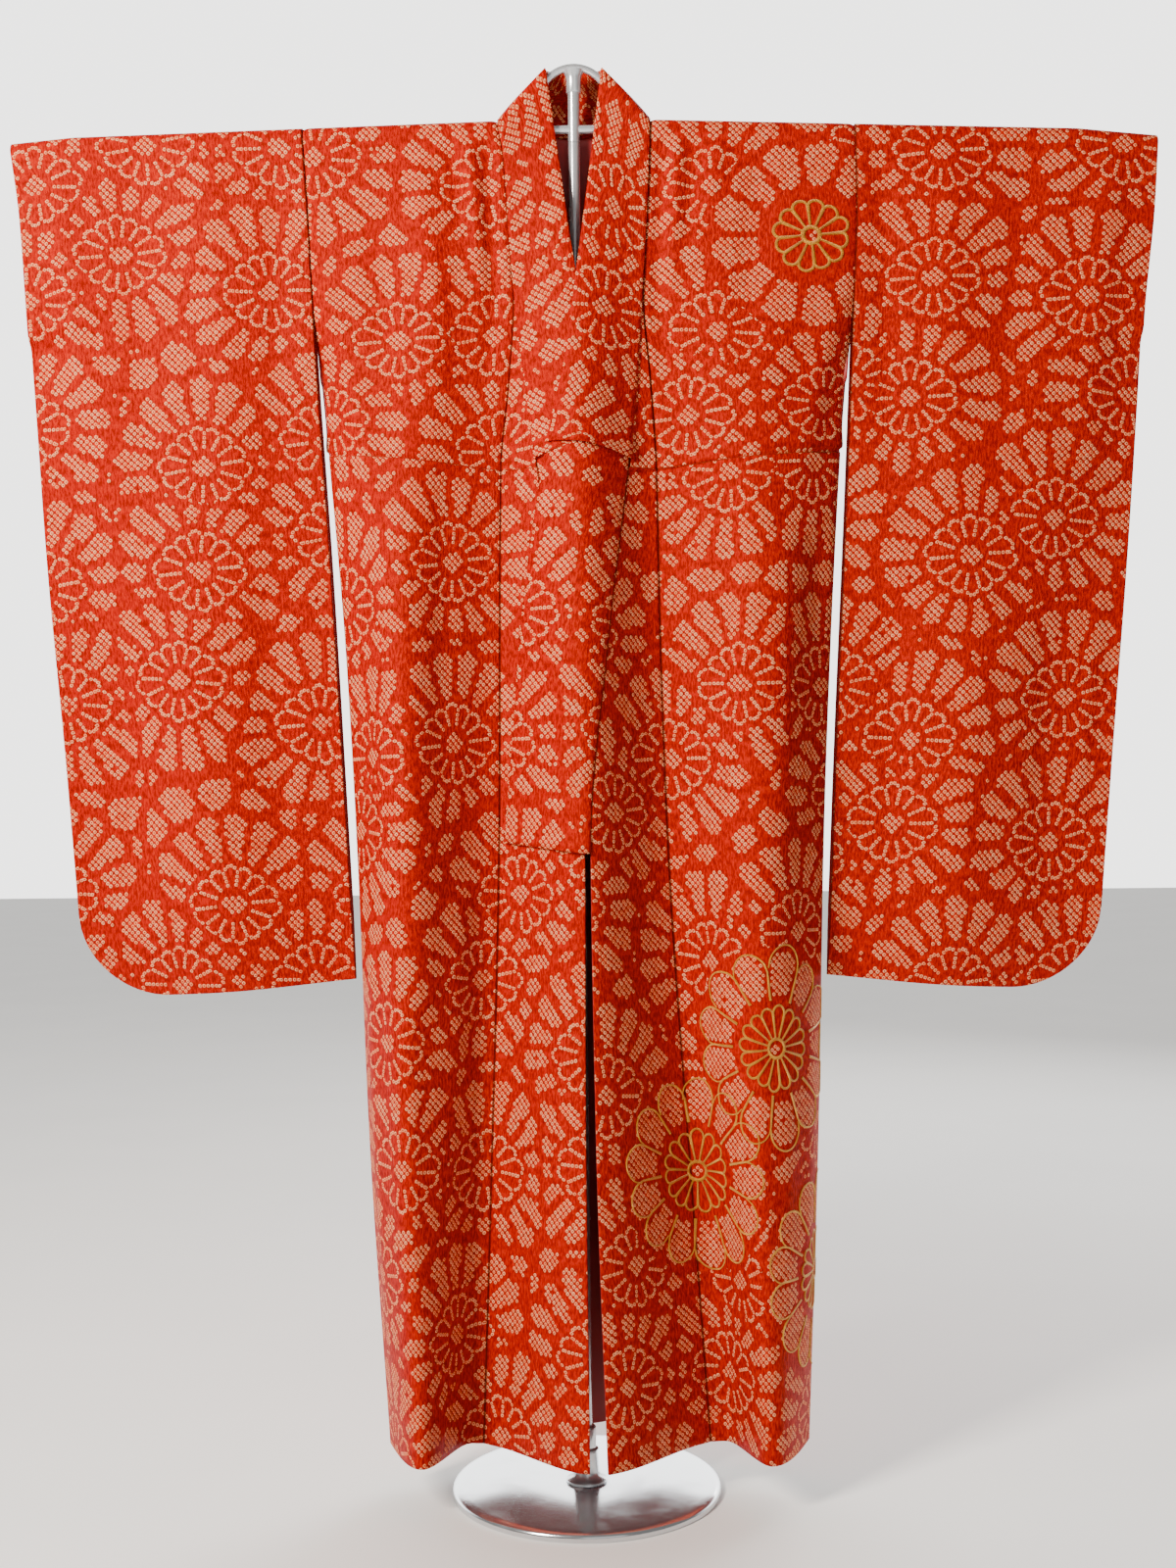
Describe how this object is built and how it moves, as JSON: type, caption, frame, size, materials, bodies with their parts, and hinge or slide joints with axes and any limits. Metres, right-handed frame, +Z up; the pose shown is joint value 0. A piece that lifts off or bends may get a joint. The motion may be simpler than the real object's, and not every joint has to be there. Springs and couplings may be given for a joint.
{
  "type": "furisode kimono on a display stand",
  "caption": "Long-sleeved furisode kimono in tie-dyed silk, hung open and hollow on a chrome T-shaped display stand with a round base.",
  "frame": {"origin": "on the floor, at the middle of the round base's underside, under the post", "axes": "+Z up along the post, -Y the way the fronts face, +X towards the wearer's left"},
  "size_m": [1.3622, 0.32, 1.6983],
  "materials": {
    "shibori_silk": "tie-dyed silk crepe, soft sheen",
    "collar_silk": "tie-dyed silk crepe, folded double, soft sheen",
    "red_lining": "plain red silk, smooth",
    "gold_thread": "gold satin stitch, glossy",
    "stand_chrome": "polished"
  },
  "bodies": {
    "root": {"body_left": "shibori_silk", "body_right": "shibori_silk", "overlap_left": "shibori_silk", "overlap_right": "shibori_silk", "sleeve_left": "shibori_silk", "sleeve_right": "shibori_silk", "collar": "collar_silk", "over_collar": "collar_silk", "lining_body_left": "red_lining", "lining_body_right": "red_lining", "lining_overlap_left": "red_lining", "lining_overlap_right": "red_lining", "stand_base": "stand_chrome", "stand_socket": "stand_chrome", "stand_post": "stand_chrome", "stand_head": "stand_chrome", "stand_arm_left": "stand_chrome", "stand_arm_right": "stand_chrome", "stand_cap_left": "stand_chrome", "stand_cap_right": "stand_chrome"}
  },
  "joints": []
}
